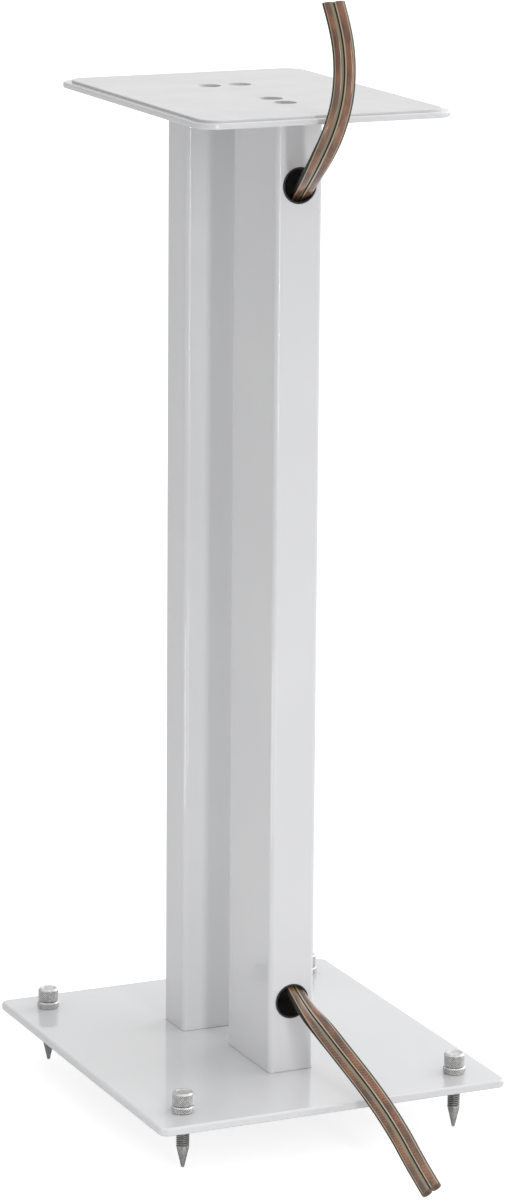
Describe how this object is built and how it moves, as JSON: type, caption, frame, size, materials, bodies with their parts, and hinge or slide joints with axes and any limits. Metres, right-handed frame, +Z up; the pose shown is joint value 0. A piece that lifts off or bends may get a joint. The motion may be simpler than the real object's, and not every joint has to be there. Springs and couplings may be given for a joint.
{
  "type": "speaker stand",
  "caption": "Speaker stand with two rectangular tube columns set as a T between a base plate on levelling spikes and a padded top plate, with speaker cable routed through the rear column.",
  "frame": {"origin": "on the floor under the middle of the base plate, at the spikes' points with the spikes fully out", "axes": "+Z up, +Y towards the front of the stand, so the cable holes face -Y; +X is the right side"},
  "size_m": [0.23, 0.3455, 0.6989],
  "materials": {
    "powder_coat": "glossy white powder coat",
    "pad": "matt white non-slip pad",
    "bare_steel": "bare steel",
    "screw_steel": "zinc-plated steel",
    "spike_steel": "dark plated steel",
    "knurled_metal": "bright knurled metal",
    "grommet": "black rubber",
    "cable": "clear glossy jacket over copper strands"
  },
  "bodies": {
    "stand": {"base_plate": "powder_coat", "top_plate": "powder_coat", "top_pad": "pad", "rear_column": "powder_coat", "front_column": "powder_coat", "rear_column_base_end_plate": "bare_steel", "rear_column_top_end_plate": "bare_steel", "front_column_base_end_plate": "bare_steel", "front_column_top_end_plate": "bare_steel", "top_plate_screws": "screw_steel", "base_plate_screws": "screw_steel", "cable_grommet_upper": "grommet", "cable_grommet_lower": "grommet", "cable_upper": "cable", "cable_inner": "cable", "cable_lower": "cable"},
    "spike_rear_left": {"spike_rear_left": "spike_steel"},
    "spike_cap_rear_left": {"spike_cap_rear_left": "knurled_metal"},
    "lock_nut_rear_left": {"lock_nut_rear_left": "knurled_metal"},
    "spike_rear_right": {"spike_rear_right": "spike_steel"},
    "spike_cap_rear_right": {"spike_cap_rear_right": "knurled_metal"},
    "lock_nut_rear_right": {"lock_nut_rear_right": "knurled_metal"},
    "spike_front_left": {"spike_front_left": "spike_steel"},
    "spike_cap_front_left": {"spike_cap_front_left": "knurled_metal"},
    "lock_nut_front_left": {"lock_nut_front_left": "knurled_metal"},
    "spike_front_right": {"spike_front_right": "spike_steel"},
    "spike_cap_front_right": {"spike_cap_front_right": "knurled_metal"},
    "lock_nut_front_right": {"lock_nut_front_right": "knurled_metal"}
  },
  "joints": [
    {"name": "spike_lift_rear_left", "type": "slide", "parent": "stand", "child": "spike_rear_left", "axis": [0, 0, 1], "range_m": [0, 0.01125]},
    {"name": "cap_turn_rear_left", "type": "hinge", "parent": "spike_rear_left", "child": "spike_cap_rear_left", "pos_m": [-0.091, -0.108, 0.0438], "axis": [0, 0, 1], "range_deg": [0, 3240]},
    {"name": "lock_nut_turn_rear_left", "type": "hinge", "parent": "stand", "child": "lock_nut_rear_left", "pos_m": [-0.091, -0.108, 0.0372], "axis": [0, 0, 1], "range_deg": [0, 90]},
    {"name": "spike_lift_rear_right", "type": "slide", "parent": "stand", "child": "spike_rear_right", "axis": [0, 0, 1], "range_m": [0, 0.01125]},
    {"name": "cap_turn_rear_right", "type": "hinge", "parent": "spike_rear_right", "child": "spike_cap_rear_right", "pos_m": [0.091, -0.108, 0.0438], "axis": [0, 0, 1], "range_deg": [0, 3240]},
    {"name": "lock_nut_turn_rear_right", "type": "hinge", "parent": "stand", "child": "lock_nut_rear_right", "pos_m": [0.091, -0.108, 0.0372], "axis": [0, 0, 1], "range_deg": [0, 90]},
    {"name": "spike_lift_front_left", "type": "slide", "parent": "stand", "child": "spike_front_left", "axis": [0, 0, 1], "range_m": [0, 0.01125]},
    {"name": "cap_turn_front_left", "type": "hinge", "parent": "spike_front_left", "child": "spike_cap_front_left", "pos_m": [-0.091, 0.108, 0.0438], "axis": [0, 0, 1], "range_deg": [0, 3240]},
    {"name": "lock_nut_turn_front_left", "type": "hinge", "parent": "stand", "child": "lock_nut_front_left", "pos_m": [-0.091, 0.108, 0.0372], "axis": [0, 0, 1], "range_deg": [0, 90]},
    {"name": "spike_lift_front_right", "type": "slide", "parent": "stand", "child": "spike_front_right", "axis": [0, 0, 1], "range_m": [0, 0.01125]},
    {"name": "cap_turn_front_right", "type": "hinge", "parent": "spike_front_right", "child": "spike_cap_front_right", "pos_m": [0.091, 0.108, 0.0438], "axis": [0, 0, 1], "range_deg": [0, 3240]},
    {"name": "lock_nut_turn_front_right", "type": "hinge", "parent": "stand", "child": "lock_nut_front_right", "pos_m": [0.091, 0.108, 0.0372], "axis": [0, 0, 1], "range_deg": [0, 90]}
  ],
  "couplings": [
    {"joint": "spike_lift_rear_left", "follows": "cap_turn_rear_left", "m_per_rad": 0.00019894},
    {"joint": "spike_lift_rear_right", "follows": "cap_turn_rear_right", "m_per_rad": 0.00019894},
    {"joint": "spike_lift_front_left", "follows": "cap_turn_front_left", "m_per_rad": 0.00019894},
    {"joint": "spike_lift_front_right", "follows": "cap_turn_front_right", "m_per_rad": 0.00019894}
  ]
}
